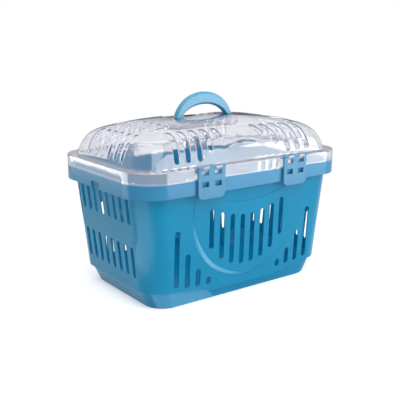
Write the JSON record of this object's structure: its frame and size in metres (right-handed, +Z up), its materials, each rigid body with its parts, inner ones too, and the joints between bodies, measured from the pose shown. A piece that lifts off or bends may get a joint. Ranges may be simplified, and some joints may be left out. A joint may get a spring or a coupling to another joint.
{
  "type": "pet carrier",
  "caption": "Small-animal carrier: slotted basket with a plinth, clear domed lid with slots, folding bow handle and hinged side clips.",
  "frame": {"origin": "centre of the basket's foot, on the surface that it stands on", "axes": "+X along the length to the right, -Y towards the front, +Z up"},
  "size_m": [0.45, 0.305, 0.347],
  "materials": {
    "basket_plastic": "injection-moulded polypropylene, semi-gloss",
    "lid_clear": "injection-moulded clear polystyrene, slightly hazy",
    "fittings_plastic": "injection-moulded polypropylene, semi-gloss"
  },
  "bodies": {
    "basket": {"basket": "basket_plastic"},
    "lid": {"lid": "lid_clear"},
    "handle": {"handle": "fittings_plastic"},
    "front_clip_left": {"front_clip_left": "fittings_plastic"},
    "front_clip_right": {"front_clip_right": "fittings_plastic"},
    "rear_clip_left": {"rear_clip_left": "fittings_plastic"},
    "rear_clip_right": {"rear_clip_right": "fittings_plastic"}
  },
  "joints": [
    {"name": "lid_hinge", "type": "hinge", "parent": "basket", "child": "lid", "pos_m": [0, 0.1479, 0.2404], "axis": [-1, 0, 0], "range_deg": [0, 100]},
    {"name": "handle_fold", "type": "hinge", "parent": "lid", "child": "handle", "pos_m": [0, 0, 0.291], "axis": [-1, 0, 0], "range_deg": [0, 90]},
    {"name": "front_clip_left_swing", "type": "hinge", "parent": "lid", "child": "front_clip_left", "pos_m": [-0.092, -0.1479, 0.2404], "axis": [-1, 0, 0], "range_deg": [0, 100]},
    {"name": "front_clip_right_swing", "type": "hinge", "parent": "lid", "child": "front_clip_right", "pos_m": [0.092, -0.1479, 0.2404], "axis": [-1, 0, 0], "range_deg": [0, 100]},
    {"name": "rear_clip_left_swing", "type": "hinge", "parent": "basket", "child": "rear_clip_left", "pos_m": [-0.092, 0.1479, 0.2404], "axis": [1, 0, 0], "range_deg": [0, 75]},
    {"name": "rear_clip_right_swing", "type": "hinge", "parent": "basket", "child": "rear_clip_right", "pos_m": [0.092, 0.1479, 0.2404], "axis": [1, 0, 0], "range_deg": [0, 75]}
  ]
}
